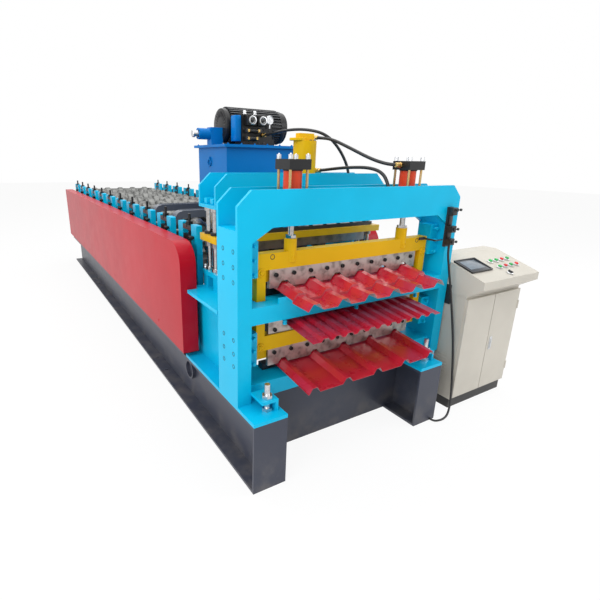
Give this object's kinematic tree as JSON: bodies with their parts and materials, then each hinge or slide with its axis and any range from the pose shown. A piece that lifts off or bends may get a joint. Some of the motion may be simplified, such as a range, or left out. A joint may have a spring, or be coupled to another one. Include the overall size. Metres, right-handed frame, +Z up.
{
  "type": "roll forming machine",
  "caption": "Roll forming line for roofing sheet: roll stands in a long base, press, sheet cutter with hydraulic cylinders, oil tank and control cabinet.",
  "frame": {"origin": "on the floor in the middle of the base, at the centre of its anchor holes", "axes": "+X across the line towards the control cabinet, +Y from the cutter along the line to the rear end, +Z up"},
  "size_m": [2.258, 6.25, 2.05],
  "materials": {
    "slate_paint": "blue-grey paint over steel",
    "light_blue_paint": "gloss light blue paint over steel",
    "blue_paint": "gloss mid blue paint over steel",
    "yellow_paint": "satin yellow paint over steel",
    "red_paint": "gloss red paint over steel",
    "red_sheet": "red coil coating, grey back",
    "black_paint": "satin black paint",
    "cream_paint": "fine textured cream powder coat",
    "dark_steel": "dark oiled steel",
    "ground_steel": "ground tool steel",
    "chromed_steel": "hard chromed",
    "roll_steel": "turned steel with chrome plating",
    "zinc_plated_steel": "yellow zinc plating",
    "black_plastic": "moulded, satin",
    "button_plastic": "moulded, gloss, several colours",
    "black_rubber": "smooth, slightly worn"
  },
  "bodies": {
    "machine": {"base_beams": "slate_paint", "cross_channels": "slate_paint", "front_feet": "slate_paint", "bed_plates": "light_blue_paint", "levelling_studs": "dark_steel", "cutter_posts": "light_blue_paint", "cutter_head": "light_blue_paint", "guide_blocks": "light_blue_paint", "cutter_tables": "light_blue_paint", "cutter_frame": "yellow_paint", "cutter_rods": "chromed_steel", "sheet_top": "red_sheet", "sheet_middle": "red_sheet", "sheet_bottom": "red_sheet", "shear_blades": "ground_steel", "shear_dies": "dark_steel", "cylinder_caps": "black_paint", "cylinder_tubes": "red_paint", "tie_rods": "zinc_plated_steel", "press_pedestals": "light_blue_paint", "press_bed": "light_blue_paint", "press_head": "light_blue_paint", "press_columns": "chromed_steel", "press_cylinder": "yellow_paint", "roll_stands": "light_blue_paint", "adjusting_screws": "black_paint", "lower_rolls": "roll_steel", "side_cover_left": "red_paint", "side_cover_right": "red_paint", "cover_brackets": "slate_paint", "tank_rails": "slate_paint", "oil_tank": "blue_paint", "pump_motor": "black_paint", "oil_pump": "blue_paint", "valve_block": "black_paint", "cabinet_body": "cream_paint", "cabinet_plinth": "black_paint", "cabinet_desk": "cream_paint", "control_screen": "black_plastic", "push_buttons": "button_plastic", "limit_switches": "black_plastic", "switch_cable": "black_rubber", "cap_hose": "black_rubber", "foot_hose": "black_rubber", "press_hose": "black_rubber"},
    "press_ram": {"press_slide": "yellow_paint", "press_rod": "chromed_steel"},
    "door_left": {"cabinet_door_left": "cream_paint"},
    "door_right": {"cabinet_door_right": "cream_paint"},
    "roll_01": {"top_roll_01": "roll_steel"},
    "roll_02": {"top_roll_02": "roll_steel"},
    "roll_03": {"top_roll_03": "roll_steel"},
    "roll_04": {"top_roll_04": "roll_steel"},
    "roll_05": {"top_roll_05": "roll_steel"},
    "roll_06": {"top_roll_06": "roll_steel"},
    "roll_07": {"top_roll_07": "roll_steel"},
    "roll_08": {"top_roll_08": "roll_steel"},
    "roll_09": {"top_roll_09": "roll_steel"},
    "roll_10": {"top_roll_10": "roll_steel"},
    "roll_11": {"top_roll_11": "roll_steel"}
  },
  "joints": [
    {"name": "press_stroke", "type": "slide", "parent": "machine", "child": "press_ram", "axis": [0, 0, 1], "range_m": [-0.1, 0]},
    {"name": "door_left_hinge", "type": "hinge", "parent": "machine", "child": "door_left", "pos_m": [0.813, -3.0733, 0.45], "axis": [0, 0, -1], "range_deg": [0, 110]},
    {"name": "door_right_hinge", "type": "hinge", "parent": "machine", "child": "door_right", "pos_m": [1.412, -3.0733, 0.45], "axis": [0, 0, 1], "range_deg": [0, 110]},
    {"name": "roll_01_spin", "type": "hinge", "parent": "machine", "child": "roll_01", "pos_m": [0, -1.965, 1.115], "axis": [1, 0, 0], "continuous": true},
    {"name": "roll_02_spin", "type": "hinge", "parent": "machine", "child": "roll_02", "pos_m": [0, -1.478, 1.115], "axis": [1, 0, 0], "continuous": true},
    {"name": "roll_03_spin", "type": "hinge", "parent": "machine", "child": "roll_03", "pos_m": [0, -0.991, 1.115], "axis": [1, 0, 0], "continuous": true},
    {"name": "roll_04_spin", "type": "hinge", "parent": "machine", "child": "roll_04", "pos_m": [0, -0.504, 1.115], "axis": [1, 0, 0], "continuous": true},
    {"name": "roll_05_spin", "type": "hinge", "parent": "machine", "child": "roll_05", "pos_m": [0, -0.017, 1.115], "axis": [1, 0, 0], "continuous": true},
    {"name": "roll_06_spin", "type": "hinge", "parent": "machine", "child": "roll_06", "pos_m": [0, 0.47, 1.115], "axis": [1, 0, 0], "continuous": true},
    {"name": "roll_07_spin", "type": "hinge", "parent": "machine", "child": "roll_07", "pos_m": [0, 0.957, 1.115], "axis": [1, 0, 0], "continuous": true},
    {"name": "roll_08_spin", "type": "hinge", "parent": "machine", "child": "roll_08", "pos_m": [0, 1.444, 1.115], "axis": [1, 0, 0], "continuous": true},
    {"name": "roll_09_spin", "type": "hinge", "parent": "machine", "child": "roll_09", "pos_m": [0, 1.931, 1.115], "axis": [1, 0, 0], "continuous": true},
    {"name": "roll_10_spin", "type": "hinge", "parent": "machine", "child": "roll_10", "pos_m": [0, 2.418, 1.115], "axis": [1, 0, 0], "continuous": true},
    {"name": "roll_11_spin", "type": "hinge", "parent": "machine", "child": "roll_11", "pos_m": [0, 2.905, 1.115], "axis": [1, 0, 0], "continuous": true}
  ],
  "couplings": [
    {"joint": "roll_02_spin", "follows": "roll_01_spin", "ratio": 1},
    {"joint": "roll_03_spin", "follows": "roll_01_spin", "ratio": 1},
    {"joint": "roll_04_spin", "follows": "roll_01_spin", "ratio": 1},
    {"joint": "roll_05_spin", "follows": "roll_01_spin", "ratio": 1},
    {"joint": "roll_06_spin", "follows": "roll_01_spin", "ratio": 1},
    {"joint": "roll_07_spin", "follows": "roll_01_spin", "ratio": 1},
    {"joint": "roll_08_spin", "follows": "roll_01_spin", "ratio": 1},
    {"joint": "roll_09_spin", "follows": "roll_01_spin", "ratio": 1},
    {"joint": "roll_10_spin", "follows": "roll_01_spin", "ratio": 1},
    {"joint": "roll_11_spin", "follows": "roll_01_spin", "ratio": 1}
  ]
}
